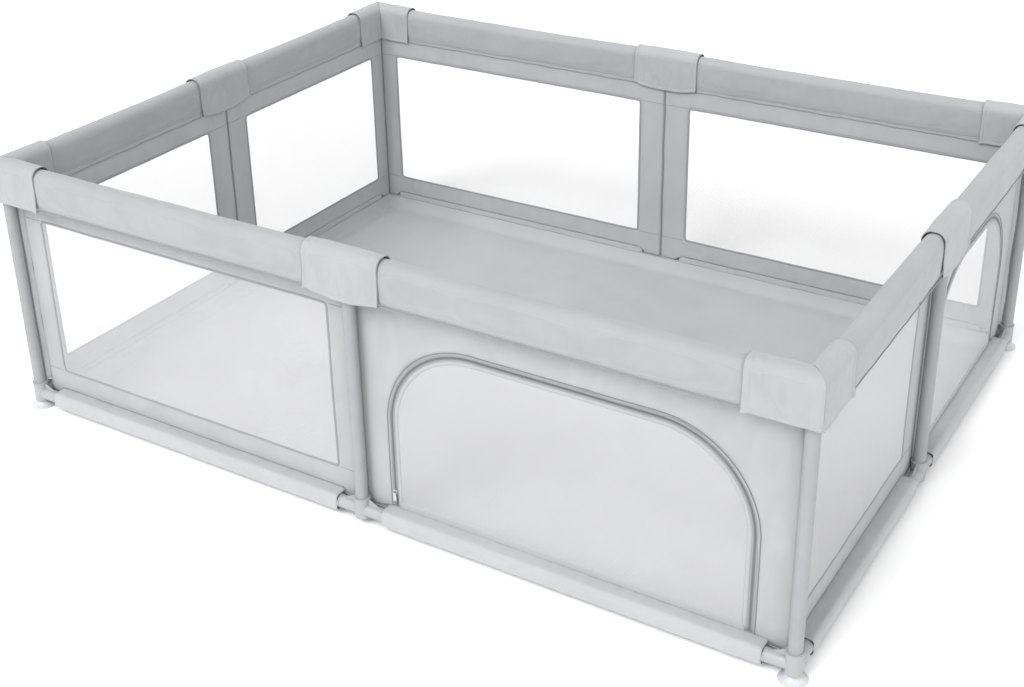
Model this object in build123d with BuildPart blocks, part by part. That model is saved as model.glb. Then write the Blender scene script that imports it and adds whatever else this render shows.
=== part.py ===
"""Rectangular fabric playpen: push-together tube frame, padded rails, mesh walls, two zip doors.

X runs along the long side, -Y is the front, +Z is up.  The origin is on the floor, under the
middle of the pen.  All sizes are in millimetres.
"""

import os

from build123d import *

# Frame: eight posts stand on a rectangle, one at each corner and one at the middle of each side.
post_span_x = 1940.0  # between corner post axes along the long side
post_span_y = 1440.0  # between corner post axes along the short side
post_diameter = 28.0
post_wall = 0.8
rail_tube_diameter = 25.0  # top tubes, inside the rail pads
rail_tube_wall = 0.8
base_tube_diameter = 22.0  # bottom tubes, inside the bottom sleeves
base_tube_wall = 0.8

# Padded top rails
rail_bottom_z = 545.0
rail_height = 98.0
rail_lip = 3.3  # how far a rail reaches inwards past the wall's middle
rail_top_radius = 20.0
rail_bottom_radius = 4.0
rail_tube_drop = 29.0  # from the top of the rail down to the top tube's axis
cover_thickness = 1.5

# Fabric wraps over the top connectors
wrap_thickness = 3.0
wrap_overhang = 9.0  # how far a wrap hangs below the rail
middle_wrap_reach = 92.0  # from the post axis, each way
corner_wrap_reach = 122.0

# Bottom tubes, sleeves and connectors
sleeve_bottom_z = 12.0
sleeve_height = 41.0
sleeve_reach_out = 17.0  # outwards from the post axes; inwards the sleeve reaches the wall
sleeve_outer_radius = 10.0
sleeve_inner_radius = 1.5
sleeve_thickness = 1.2
base_tube_rise = 0.5  # of the bottom tubes' axes above the middle of the sleeves
connector_wall = 3.0
connector_reach = 58.0  # from the post axis to the end of a horizontal arm
base_socket_height = 31.0  # above the bottom tubes' axes
base_socket_floor_rise = 3.0
base_socket_drop = 17.5
base_tube_insertion = 34.0  # length of tube held in each arm
gusset_thickness = 3.0
gusset_reach = 46.0
rim_width = 3.0
rim_height = 1.2
top_connector_wall = 2.0
top_connector_reach = 47.0
top_tube_insertion = 28.0
top_socket_depth = 24.0
top_cap = 2.0  # how far a hub stands above its arms

# Suction feet under the four corner posts
foot_diameter = 57.0
foot_lip = 1.6
foot_height = 15.0
foot_cup_depth = 5.0
foot_hollow = 2.0  # how far its upper side curves in
foot_neck_diameter = 22.0
foot_stem_diameter = 10.0
foot_stem_length = 12.0

# Fabric walls hang just inside the posts
wall_thickness = 2.0
wall_clearance = 0.5  # between a bottom connector and the wall
mesh_thickness = 1.5
window_margin = 73.0  # from a post axis to the side of a window
window_bottom_margin = 50.0  # from the top of the bottom sleeve
window_top_margin = 49.0  # from the bottom of the rail

# Zip doors: the zip runs up one side, over the top and down the other as an arch
door_near_margin = 76.0  # from the middle post axis to the zip's centre line
door_far_margin = 97.0  # from the corner post axis to the zip's centre line
zip_top_margin = 88.0  # from the bottom of the rail
zip_bottom_margin = 4.0  # from the top of the bottom sleeve
zip_radius = 199.0
zip_half_gap = 6.0  # from the zip's centre line to the wall's edge and to the door's edge
chain_half_width = 3.0
chain_thickness = 2.0
tape_thickness = 0.8
door_bottom_margin = 5.0

# Zip slider and its pull
slider_rise = 35.0  # of the closed slider above the top of the bottom sleeve
slider_length = 14.0
slider_half_width = 4.8
slider_plate = 1.6
slider_clearance = 0.4
lug_thickness = 1.2
pin_diameter = 1.8
pin_offset = 2.6  # from the slider's front plate to the pin's axis
lug_edge = 1.4  # round the pin's hole
pull_length = 25.0
pull_neck = 6.0  # from the pin to the wide part of the pull
pull_width = 8.0
pull_thickness = 1.4

# Floor mat
mat_thickness = 2.5
mat_bottom_z = 0.6
mat_edge_drop = 13.0  # below the top of the bottom sleeve
mat_edge_thickness = 2.0

fit_clearance = 0.2  # radial play of a tube in its socket
gap = 0.3  # between separate soft pieces that meet
play = 0.3  # between the pull and the slider
cut_past = 1.0  # how far a cutting shape runs past a surface

half_x = post_span_x / 2
half_y = post_span_y / 2
post_radius = post_diameter / 2
wall_inset = post_radius + connector_wall + rim_height + wall_clearance + wall_thickness / 2
rail_width = 2 * (wall_inset + rail_lip)
rail_top_z = rail_bottom_z + rail_height
rail_tube_z = rail_top_z - rail_tube_drop
sleeve_top_z = sleeve_bottom_z + sleeve_height
base_tube_z = sleeve_bottom_z + sleeve_height / 2 + base_tube_rise
base_socket_top_z = base_tube_z + base_socket_height
base_socket_floor_z = base_tube_z + base_socket_floor_rise
base_connector_bottom_z = base_tube_z - base_socket_drop
window_bottom_z = sleeve_top_z + window_bottom_margin
window_top_z = rail_bottom_z - window_top_margin
zip_top_z = rail_bottom_z - zip_top_margin
zip_bottom_z = sleeve_top_z + zip_bottom_margin
door_bottom_z = sleeve_top_z + door_bottom_margin
slider_z = sleeve_top_z + slider_rise
mat_edge_top_z = sleeve_top_z - mat_edge_drop
base_arm_radius = base_tube_diameter / 2 + connector_wall
base_socket_radius = post_radius + connector_wall
top_arm_radius = rail_tube_diameter / 2 + top_connector_wall
top_socket_radius = post_radius + top_connector_wall
top_socket_bottom_z = rail_tube_z - top_arm_radius - top_socket_depth / 2
post_top_z = top_socket_bottom_z + top_socket_depth

# Each side plane has x to the right as seen from outside, y up and z outwards.
SIDES = {
    "front": (Plane((0, -half_y, 0), x_dir=(1, 0, 0), z_dir=(0, -1, 0)), half_x),
    "right": (Plane((half_x, 0, 0), x_dir=(0, 1, 0), z_dir=(1, 0, 0)), half_y),
    "rear": (Plane((0, half_y, 0), x_dir=(-1, 0, 0), z_dir=(0, 1, 0)), half_x),
    "left": (Plane((-half_x, 0, 0), x_dir=(0, -1, 0), z_dir=(-1, 0, 0)), half_y),
}
DOOR_SIDES = ("front", "right")
CORNERS = {
    "front_left": (-1, -1),
    "front_right": (1, -1),
    "rear_left": (-1, 1),
    "rear_right": (1, 1),
}


def save(builder, name):
    """Label a finished piece and write it as its own STEP file."""
    builder.part.label = name
    export_step(builder.part, f"parts/{name}.step")


def section_plane(side, along):
    """A plane across a side: x points into the pen, y up, and z along the side."""
    face = SIDES[side][0]
    origin = face.from_local_coords(Vector(along, 0, 0))
    return Plane(origin, x_dir=face.z_dir * -1, z_dir=face.x_dir)


def wall_plane(side):
    """The middle plane of a side's fabric wall."""
    return SIDES[side][0].offset(-wall_inset)


def half_spans(half, near, far):
    """Both halves of a side, from the middle post's end to the corner post's end."""
    return ((near, half - far), (far - half, -near))


def end_on_wall(side, overlap):
    """Where a wall stops at a corner: the long walls run past the ends of the short ones."""
    half = SIDES[side][1]
    if side in ("front", "rear"):
        return half - wall_inset + wall_thickness / 2
    return half - wall_inset - wall_thickness / 2 - overlap


def rail_outline(inset):
    """The rail's cross-section: flat sides, a rounded top, and nearly square lower edges."""
    with BuildSketch() as outline:
        with Locations((0, rail_bottom_z + rail_height / 2)):
            Rectangle(rail_width - 2 * inset, rail_height - 2 * inset)
        rows = outline.vertices().group_by(Axis.Y)
        fillet(rows[-1], rail_top_radius - inset)
        fillet(rows[0], max(rail_bottom_radius - inset, 1))
    return outline.sketch


def sleeve_outline(inset):
    """The bottom sleeve's cross-section, rounded outside and straight where the wall joins it."""
    inner_face = wall_inset + wall_thickness / 2
    width = inner_face + sleeve_reach_out
    with BuildSketch() as outline:
        with Locations((inner_face - width / 2, sleeve_bottom_z + sleeve_height / 2)):
            Rectangle(width - 2 * inset, sleeve_height - 2 * inset)
        columns = outline.vertices().group_by(Axis.X)
        fillet(columns[0], sleeve_outer_radius - inset)
        fillet(columns[-1], max(sleeve_inner_radius - inset, 0.5))
    return outline.sketch


def arch_outline(half, inset, bottom_z):
    """The zip's arch on a wall plane, drawn in by `inset` (outwards when it is negative)."""
    left = door_near_margin + inset
    right = half - door_far_margin - inset
    top = zip_top_z - inset
    with BuildSketch() as outline:
        with Locations(((left + right) / 2, (bottom_z + top) / 2)):
            Rectangle(right - left, top - bottom_z)
        fillet(outline.vertices().group_by(Axis.Y)[-1], zip_radius - inset)
    return outline.sketch


def post(name, x, y):
    """A round steel post, held in a socket at each end."""
    length = post_top_z - base_socket_floor_z - 2 * fit_clearance
    with BuildPart(Plane((x, y, base_socket_floor_z + fit_clearance))) as tube:
        Cylinder(post_radius, length, align=(Align.CENTER, Align.CENTER, Align.MIN))
        Hole(post_radius - post_wall)
    save(tube, name)


def side_tubes(name, sides, height, diameter, wall, start):
    """The tubes along the named sides, each starting `start` away from its posts' axes."""
    with BuildPart() as tubes:
        for side in sides:
            half = SIDES[side][1]
            for low, high in half_spans(half, start, start):
                with BuildSketch(section_plane(side, low)):
                    with Locations((0, height)):
                        Circle(diameter / 2)
                        Circle(diameter / 2 - wall, mode=Mode.SUBTRACT)
                extrude(amount=high - low)
    save(tubes, name)


def arm_plane(x, y, z, direction):
    """A plane at a post's axis whose normal is the way an arm points."""
    return Plane((x, y, z), x_dir=(0, 0, 1), z_dir=direction)


def base_connector(name, x, y, directions, footed):
    """A moulded socket for a post, with horizontal arms for the bottom tubes and small gussets."""
    with BuildPart() as body:
        with BuildSketch(Plane((x, y, base_connector_bottom_z))):
            Circle(base_socket_radius)
        extrude(amount=base_socket_top_z - base_connector_bottom_z)
        with BuildSketch(Plane((x, y, base_socket_top_z - rim_width))):
            Circle(base_socket_radius + rim_height)
        extrude(amount=rim_width)
        for direction in directions:
            with BuildSketch(arm_plane(x, y, base_tube_z, direction)):
                Circle(base_arm_radius)
            extrude(amount=connector_reach)
            rim = arm_plane(x, y, base_tube_z, direction).offset(connector_reach - rim_width)
            with BuildSketch(rim):
                Circle(base_arm_radius + rim_height)
            extrude(amount=rim_width)
            across = Vector(direction).cross(Vector(0, 0, 1))
            upright = Plane((x, y, 0), x_dir=direction, z_dir=across)
            with BuildSketch(upright):
                Polygon(
                    (0, base_tube_z),
                    (gusset_reach, base_tube_z),
                    (gusset_reach, base_tube_z + base_arm_radius),
                    (base_socket_radius, base_socket_top_z - rim_width),
                    (0, base_socket_top_z - rim_width),
                    align=None,
                )
            extrude(amount=gusset_thickness / 2, both=True)
        with BuildSketch(Plane((x, y, base_socket_floor_z))):
            Circle(post_radius + fit_clearance)
        extrude(amount=base_socket_top_z - base_socket_floor_z, mode=Mode.SUBTRACT)
        for direction in directions:
            bore = arm_plane(x, y, base_tube_z, direction)
            with BuildSketch(bore.offset(connector_reach - base_tube_insertion)):
                Circle(base_tube_diameter / 2 + fit_clearance)
            extrude(amount=base_tube_insertion, mode=Mode.SUBTRACT)
        if footed:
            with BuildSketch(Plane((x, y, base_connector_bottom_z))):
                Circle(foot_stem_diameter / 2 + fit_clearance)
            extrude(amount=foot_stem_length + fit_clearance, mode=Mode.SUBTRACT)
    save(body, name)


def top_connectors(name, places):
    """Hubs hidden in the rails: a post pushes in from below and the top tubes from the sides."""
    with BuildPart() as hubs:
        for x, y, directions in places:
            with BuildSketch(Plane((x, y, top_socket_bottom_z))):
                Circle(top_socket_radius)
            extrude(amount=rail_tube_z + top_arm_radius + top_cap - top_socket_bottom_z)
            for direction in directions:
                with BuildSketch(arm_plane(x, y, rail_tube_z, direction)):
                    Circle(top_arm_radius)
                extrude(amount=top_connector_reach)
            with BuildSketch(Plane((x, y, top_socket_bottom_z))):
                Circle(post_radius + fit_clearance)
            extrude(amount=top_socket_depth, mode=Mode.SUBTRACT)
            for direction in directions:
                bore = arm_plane(x, y, rail_tube_z, direction)
                with BuildSketch(bore.offset(top_connector_reach - top_tube_insertion)):
                    Circle(rail_tube_diameter / 2 + fit_clearance)
                extrude(amount=top_tube_insertion, mode=Mode.SUBTRACT)
    save(hubs, name)


def suction_feet():
    """A soft suction cup under each corner post, its stem pushed up into the connector."""
    lip_radius = foot_diameter / 2
    neck_radius = foot_neck_diameter / 2
    stem_radius = foot_stem_diameter / 2
    stem_top = foot_height + foot_stem_length
    with BuildPart() as feet:
        for x_sign, y_sign in CORNERS.values():
            centre = (x_sign * half_x, y_sign * half_y, 0)
            with BuildSketch(Plane(centre, x_dir=(1, 0, 0), z_dir=(0, -1, 0))):
                with BuildLine():
                    Line((0, foot_cup_depth), (0, stem_top))
                    Line((0, stem_top), (stem_radius, stem_top))
                    Line((stem_radius, stem_top), (stem_radius, foot_height))
                    Line((stem_radius, foot_height), (neck_radius, foot_height))
                    ThreePointArc(
                        (neck_radius, foot_height),
                        ((neck_radius + lip_radius) / 2 - foot_hollow, foot_height / 2),
                        (lip_radius, foot_lip),
                    )
                    Line((lip_radius, foot_lip), (lip_radius, 0))
                    Line((lip_radius, 0), (lip_radius - 2 * foot_lip, 0))
                    Line((lip_radius - 2 * foot_lip, 0), (neck_radius, foot_cup_depth))
                    Line((neck_radius, foot_cup_depth), (0, foot_cup_depth))
                make_face()
            revolve(axis=Axis(centre, (0, 0, 1)))
    save(feet, "suction_feet")


def rail_pieces(name, sides, outer_inset, core_radius, core_inset):
    """Rail covers (hollow) or their foam cores (bored for the tube) on the named sides."""
    end = top_connector_reach + gap
    with BuildPart() as pieces:
        for side in sides:
            for low, high in half_spans(SIDES[side][1], end, end):
                with BuildSketch(section_plane(side, low)):
                    add(rail_outline(outer_inset))
                    if core_radius:
                        with Locations((0, rail_tube_z)):
                            Circle(core_radius, mode=Mode.SUBTRACT)
                    else:
                        add(rail_outline(core_inset), mode=Mode.SUBTRACT)
                extrude(amount=high - low)
    save(pieces, name)


def wrap_profile():
    """The wrap's cross-section: a saddle over the rail, open underneath."""
    inner = -gap
    outer = inner - wrap_thickness
    open_top = rail_bottom_z + rail_bottom_radius + gap
    open_bottom = rail_bottom_z - wrap_overhang
    half_width = rail_width / 2 - outer
    with BuildSketch() as profile:
        add(rail_outline(outer))
        with Locations((0, (open_top + open_bottom) / 2)):
            Rectangle(2 * half_width, open_top - open_bottom)
        add(rail_outline(inner), mode=Mode.SUBTRACT)
        with Locations((0, (open_top + open_bottom) / 2 - cut_past)):
            height = open_top - open_bottom + 2 * cut_past
            Rectangle(rail_width - 2 * inner, height, mode=Mode.SUBTRACT)
    return profile.sketch


def middle_wrap(name, side):
    """A straight saddle over the connector in the middle of a side."""
    with BuildPart() as wrap:
        with BuildSketch(section_plane(side, -middle_wrap_reach)):
            add(wrap_profile())
        extrude(amount=2 * middle_wrap_reach)
    save(wrap, name)


def corner_wrap(name, x_sign, y_sign):
    """An L-shaped saddle over a corner, with a mitre seam."""
    overrun = rail_width
    start = Plane((half_x + overrun, half_y, 0), x_dir=(0, -1, 0), z_dir=(-1, 0, 0))
    mitre = Plane((half_x, half_y, 0), x_dir=(0, 0, 1), z_dir=(1, -1, 0))
    with BuildPart() as wrap:
        with BuildSketch(start):
            add(wrap_profile())
        extrude(amount=corner_wrap_reach + overrun)
        split(bisect_by=mitre, keep=Keep.BOTTOM)
        mirror(about=mitre)
        if x_sign < 0:
            mirror(about=Plane.YZ, mode=Mode.REPLACE)
        if y_sign < 0:
            mirror(about=Plane.XZ, mode=Mode.REPLACE)
    save(wrap, name)


def bottom_sleeves(name, side):
    """Fabric sleeves around the bottom tubes, between the connectors."""
    end = connector_reach + gap
    with BuildPart() as sleeves:
        for low, high in half_spans(SIDES[side][1], end, end):
            with BuildSketch(section_plane(side, low)):
                add(sleeve_outline(0))
                add(sleeve_outline(sleeve_thickness), mode=Mode.SUBTRACT)
            extrude(amount=high - low)
    save(sleeves, name)


def has_door(side, span):
    """The door is in the half to the right of the middle post, as seen from outside."""
    return side in DOOR_SIDES and span[0] > 0


def wall_halves(side):
    """The fabric spans either side of a middle post, up to the corners."""
    end = end_on_wall(side, gap)
    return ((gap / 2, end), (-end, -gap / 2))


def window_sketch(side, span, inset):
    """A window's rectangle, drawn in by `inset`."""
    half = SIDES[side][1]
    width = half - 2 * window_margin - 2 * inset
    middle = half / 2 if span[0] > 0 else -half / 2
    with BuildSketch() as window:
        with Locations((middle, (window_bottom_z + window_top_z) / 2)):
            Rectangle(width, window_top_z - window_bottom_z - 2 * inset)
    return window.sketch


def wall_border(name, side):
    """The opaque fabric of a wall, open for the mesh window or for the arched door."""
    low_z = sleeve_top_z + gap
    high_z = rail_bottom_z - gap
    with BuildPart() as border:
        for span in wall_halves(side):
            with BuildSketch(wall_plane(side)):
                with Locations(((span[0] + span[1]) / 2, (low_z + high_z) / 2)):
                    Rectangle(span[1] - span[0], high_z - low_z)
                if has_door(side, span):
                    arch = arch_outline(SIDES[side][1], -zip_half_gap, low_z - cut_past)
                    add(arch, mode=Mode.SUBTRACT)
                else:
                    add(window_sketch(side, span, 0), mode=Mode.SUBTRACT)
            extrude(amount=wall_thickness / 2, both=True)
    save(border, name)


def window_meshes(name, side):
    """The mesh sewn into a wall's windows."""
    with BuildPart() as meshes:
        for span in wall_halves(side):
            if not has_door(side, span):
                with BuildSketch(wall_plane(side)):
                    add(window_sketch(side, span, gap))
                extrude(amount=mesh_thickness / 2, both=True)
    save(meshes, name)


def door_flap(name, side):
    """The arched mesh door, bound along its edge and hinged on its bottom hem."""
    with BuildPart() as flap:
        with BuildSketch(wall_plane(side)):
            add(arch_outline(SIDES[side][1], zip_half_gap, door_bottom_z))
        extrude(amount=wall_thickness / 2, both=True)
    save(flap, name)


def zip_chain(name, side):
    """The zip's chain along the arch, with the tape that sews it to the wall."""
    half = SIDES[side][1]
    with BuildPart() as chain:
        with BuildSketch(wall_plane(side)):
            add(arch_outline(half, -chain_half_width, zip_bottom_z))
            add(arch_outline(half, chain_half_width, zip_bottom_z - cut_past), mode=Mode.SUBTRACT)
        extrude(amount=chain_thickness / 2, both=True)
        with BuildSketch(wall_plane(side)):
            add(arch_outline(half, fit_clearance - zip_half_gap, zip_bottom_z))
            add(arch_outline(half, -chain_half_width, zip_bottom_z - cut_past), mode=Mode.SUBTRACT)
        extrude(amount=tape_thickness / 2, both=True)
    save(chain, name)


def slider_frame(side):
    """A plane at the slider's middle: x along the wall, y up, z outwards."""
    wall = wall_plane(side)
    origin = wall.from_local_coords(Vector(door_near_margin, slider_z, 0))
    return Plane(origin, x_dir=wall.x_dir, z_dir=wall.z_dir)


def zip_slider(name, side):
    """Two plates round the chain, joined on the door's side, with lugs and a pin in front."""
    frame = slider_frame(side)
    inner = chain_thickness / 2 + slider_clearance
    outer = inner + slider_plate
    web = slider_half_width - chain_half_width - slider_clearance
    lug_middle = eye_length() / 2 + play + lug_thickness / 2
    lug_size = 2 * (pin_diameter / 2 + lug_edge)
    with BuildPart() as slider:
        with BuildSketch(frame.offset(-outer)):
            RectangleRounded(2 * slider_half_width, slider_length, slider_half_width / 2)
        extrude(amount=2 * outer)
        with BuildSketch(frame.offset(-inner)):
            with Locations((-web, 0)):
                Rectangle(2 * slider_half_width, slider_length + 2 * cut_past)
        extrude(amount=2 * inner, mode=Mode.SUBTRACT)
        for shift in (-lug_middle, lug_middle):
            with BuildSketch(frame.offset(outer)):
                with Locations((shift, 0)):
                    Rectangle(lug_thickness, lug_size)
            extrude(amount=pin_offset + pin_diameter)
        across = Plane(frame.from_local_coords(Vector(0, 0, outer + pin_offset)), z_dir=frame.x_dir)
        with BuildSketch(across):
            Circle(pin_diameter / 2)
        extrude(amount=lug_middle, both=True)
    save(slider, name)


def eye_length():
    """The pull's eye fits between the slider's lugs."""
    return 2 * (slider_half_width - lug_thickness - 2 * play)


def zip_pull(name, side):
    """A tab that hangs from the slider's pin by an eye."""
    frame = slider_frame(side)
    outer = chain_thickness / 2 + slider_clearance + slider_plate
    centre = frame.from_local_coords(Vector(0, 0, outer + pin_offset))
    eye_bore = pin_diameter / 2 + play
    eye_radius = pin_offset - play
    with BuildPart() as pull:
        with BuildSketch(Plane(centre, z_dir=frame.x_dir)):
            Circle(eye_radius)
        extrude(amount=eye_length() / 2, both=True)
        hanging = Plane(centre, x_dir=frame.x_dir, z_dir=frame.z_dir)
        with BuildSketch(hanging):
            with Locations((0, -pull_neck / 2 - cut_past)):
                Rectangle(eye_length(), pull_neck + 2 * cut_past)
            with Locations((0, -(pull_neck + pull_length) / 2)):
                RectangleRounded(pull_width, pull_length - pull_neck, pull_width / 3)
            with Locations((0, -pull_length + pull_width / 2)):
                Circle(pull_width / 5, mode=Mode.SUBTRACT)
        extrude(amount=pull_thickness / 2, both=True)
        with BuildSketch(Plane(centre, z_dir=frame.x_dir)):
            Circle(eye_bore)
        extrude(amount=eye_length(), both=True, mode=Mode.SUBTRACT)
    save(pull, name)


def floor_mat():
    """The fabric floor, lying on the ground inside the bottom sleeves."""
    length = 2 * (half_x - wall_inset - wall_thickness / 2 - gap)
    depth = 2 * (half_y - wall_inset - wall_thickness / 2 - gap)
    with BuildPart() as mat:
        with BuildSketch(Plane.XY.offset(mat_bottom_z)):
            RectangleRounded(length, depth, wall_inset / 2)
        extrude(amount=mat_thickness)
    save(mat, "floor_mat")


def floor_mat_edging():
    """The mat's turned-up edge, sewn to the inside of each bottom sleeve."""
    low_z = mat_bottom_z + mat_thickness + gap
    face = wall_inset + wall_thickness / 2 + gap + mat_edge_thickness / 2
    with BuildPart() as edging:
        for side, (plane, half) in SIDES.items():
            end = half - face + mat_edge_thickness / 2
            if side in ("left", "right"):
                end = end - mat_edge_thickness - gap
            with BuildSketch(plane.offset(-face)):
                with Locations((0, (low_z + mat_edge_top_z) / 2)):
                    Rectangle(2 * end, mat_edge_top_z - low_z)
            extrude(amount=mat_edge_thickness / 2, both=True)
    save(edging, "floor_mat_edging")


def frame_pieces():
    """Posts, tubes, connectors and feet."""
    corner_places = []
    for name, (x_sign, y_sign) in CORNERS.items():
        x, y = x_sign * half_x, y_sign * half_y
        directions = ((-x_sign, 0, 0), (0, -y_sign, 0))
        corner_places.append((x, y, directions))
        post(f"{name}_post", x, y)
        base_connector(f"{name}_bottom_connector", x, y, directions, True)
    middle_places = []
    for side, (plane, _) in SIDES.items():
        x, y = plane.origin.X, plane.origin.Y
        directions = (tuple(plane.x_dir), tuple(plane.x_dir * -1))
        middle_places.append((x, y, directions))
        post(f"{side}_middle_post", x, y)
        base_connector(f"{side}_middle_bottom_connector", x, y, directions, False)
    top_connectors("top_corner_connectors", corner_places)
    top_connectors("top_middle_connectors", middle_places)
    for label, sides in (("long", ("front", "rear")), ("short", ("left", "right"))):
        top_start = top_connector_reach - top_tube_insertion + fit_clearance
        side_tubes(
            f"{label}_top_tubes", sides, rail_tube_z, rail_tube_diameter, rail_tube_wall, top_start
        )
        base_start = connector_reach - base_tube_insertion + fit_clearance
        side_tubes(
            f"{label}_bottom_tubes", sides, base_tube_z, base_tube_diameter, base_tube_wall, base_start
        )
        core = rail_tube_diameter / 2 + fit_clearance
        rail_pieces(f"{label}_rail_foams", sides, cover_thickness + gap, core, 0)
    suction_feet()


def fabric_pieces():
    """Rail covers, wraps, sleeves, walls, windows and the floor."""
    for side in SIDES:
        rail_pieces(f"{side}_rail_covers", (side,), 0, 0, cover_thickness)
        middle_wrap(f"{side}_middle_wrap", side)
        bottom_sleeves(f"{side}_bottom_sleeves", side)
        wall_border(f"{side}_wall_border", side)
        window_meshes(f"{side}_window_mesh", side)
    for name, (x_sign, y_sign) in CORNERS.items():
        corner_wrap(f"{name}_corner_wrap", x_sign, y_sign)
    floor_mat()
    floor_mat_edging()


def door_pieces():
    """Door flaps and their zips."""
    for side in DOOR_SIDES:
        door_flap(f"{side}_door", side)
        zip_chain(f"{side}_zip_chain", side)
        zip_slider(f"{side}_zip_slider", side)
        zip_pull(f"{side}_zip_pull", side)


os.makedirs("parts", exist_ok=True)
frame_pieces()
fabric_pieces()
door_pieces()
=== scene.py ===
"""Looks for the fabric playpen: padded rails, wraps, mesh walls, zip doors and floor mat."""

import math

import bmesh
import bpy
import numpy as np
from mathutils import Matrix, Vector


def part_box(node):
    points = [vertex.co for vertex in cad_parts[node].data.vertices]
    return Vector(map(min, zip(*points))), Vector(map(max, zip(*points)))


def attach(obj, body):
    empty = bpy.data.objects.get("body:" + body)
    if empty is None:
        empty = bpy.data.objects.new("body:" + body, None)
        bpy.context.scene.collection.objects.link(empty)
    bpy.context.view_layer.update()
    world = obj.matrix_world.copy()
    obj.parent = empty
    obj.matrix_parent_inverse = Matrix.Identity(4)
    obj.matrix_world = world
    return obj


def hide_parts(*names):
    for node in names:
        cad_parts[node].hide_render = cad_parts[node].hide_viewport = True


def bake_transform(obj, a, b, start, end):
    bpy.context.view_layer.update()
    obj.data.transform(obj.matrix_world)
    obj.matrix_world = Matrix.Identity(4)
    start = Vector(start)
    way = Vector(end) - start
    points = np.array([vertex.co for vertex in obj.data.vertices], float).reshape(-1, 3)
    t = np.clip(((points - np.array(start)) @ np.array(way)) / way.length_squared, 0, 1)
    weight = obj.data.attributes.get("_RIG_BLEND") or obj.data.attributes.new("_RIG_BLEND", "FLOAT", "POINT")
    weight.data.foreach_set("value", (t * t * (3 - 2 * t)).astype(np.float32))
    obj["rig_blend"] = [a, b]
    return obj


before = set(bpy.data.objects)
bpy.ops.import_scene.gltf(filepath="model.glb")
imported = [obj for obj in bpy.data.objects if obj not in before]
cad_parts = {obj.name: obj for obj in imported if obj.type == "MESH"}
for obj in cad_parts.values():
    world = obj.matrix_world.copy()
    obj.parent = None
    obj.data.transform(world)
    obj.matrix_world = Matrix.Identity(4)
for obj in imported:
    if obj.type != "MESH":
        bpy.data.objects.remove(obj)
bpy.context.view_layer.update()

# Sizes that the frame's boxes don't give, in metres
PAD_START_INSET = 0.0022  # a rail pad starts this much smaller, then swells
PAD_END_PINCH = 0.0010  # and this much more at its ends, where the wraps hold it
PAD_CAP = 0.0032  # furthest that a point of a pad may swell
PAD_VOXEL = 0.006
RAIL_TOP_RADIUS = 0.020
RAIL_BOTTOM_RADIUS = 0.004
HEM = 0.008  # width of a hem on the wraps
WINDOW_RADIUS = 0.006
BINDING = 0.0060  # width of the binding round a window
ZIP_RADIUS = 0.199  # bend of the zip's centre line
TAPE_EDGE = 0.0058  # from the zip's centre line to the edge of its tape on the wall
DOOR_BINDING = 0.009
TOOTH_PITCH = 0.0017
STITCH_PITCH = 0.0042
CLOTH = 0.0012  # thickness of the fabric
WRAP_CLOTH = 0.0014  # thickness of the wraps
WALL_GAP = 0.0062  # from the zip's centre line to the edge of the wall's cloth
DOOR_GAP = 0.0066  # and to the edge of the door's netting
HEM_DROP = 0.015  # how much lower the walls end where a connector parts the sleeves


def post_axis(node):
    low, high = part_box(node)
    return (low + high) / 2


def side(origin, along, outward, half):
    vectors = (np.array(v, float) for v in (origin, along, outward))
    return (*vectors, half)


HALF_X = post_axis("front_right_post").x
HALF_Y = post_axis("rear_right_post").y
POST_RADIUS = (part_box("front_right_post")[1].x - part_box("front_right_post")[0].x) / 2
SIDES = {
    "front": side((0, -HALF_Y, 0), (1, 0, 0), (0, -1, 0), HALF_X),
    "right": side((HALF_X, 0, 0), (0, 1, 0), (1, 0, 0), HALF_Y),
    "rear": side((0, HALF_Y, 0), (-1, 0, 0), (0, 1, 0), HALF_X),
    "left": side((-HALF_X, 0, 0), (0, -1, 0), (-1, 0, 0), HALF_Y),
}
CORNERS = {  # each corner, and the side that has it at its right-hand end
    "front_right": "front", "rear_right": "right", "rear_left": "rear", "front_left": "left",
}
NEXT_SIDE = {"front": "right", "right": "rear", "rear": "left", "left": "front"}
DOOR_SIDES = ("front", "right")

rail_low, rail_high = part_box("front_rail_covers")
RAIL_HALF_WIDTH = (rail_high.y - rail_low.y) / 2
RAIL_END = HALF_X - rail_high.x
sleeve_low, sleeve_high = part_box("front_bottom_sleeves")
tube_low, tube_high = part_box("long_bottom_tubes")
TUBE_Z = (tube_low.z + tube_high.z) / 2
SLEEVE_OUT = -HALF_Y - sleeve_low.y
SLEEVE_END = HALF_X - sleeve_high.x
wrap_low, wrap_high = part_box("front_middle_wrap")
WRAP_REACH = wrap_high.x
wall_low, wall_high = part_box("front_wall_border")
WALL_INSET = HALF_Y + (wall_low.y + wall_high.y) / 2
WALL_TOP = rail_low.z + 0.013  # up inside the pad
WALL_BOTTOM = sleeve_high.z - 0.002  # down inside the sleeve
window_low, window_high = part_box("front_window_mesh")
WINDOW_MARGIN = HALF_X + window_low.x
corner_low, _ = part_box("front_right_corner_wrap")
CORNER_REACH = HALF_X - corner_low.x
mat_low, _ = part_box("floor_mat")
_, edging_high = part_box("floor_mat_edging")


# ---------------------------------------------------------------- numbers and meshes


def place(name, u, z, out):
    """Points on a side: u along it to the right as seen from outside, z up, out outwards."""
    origin, along, outward, _ = SIDES[name]
    u, z, out = np.broadcast_arrays(*(np.asarray(v, float) for v in (u, z, out)))
    points = origin + u[..., None] * along + out[..., None] * outward
    points[..., 2] = z
    return points


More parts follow.
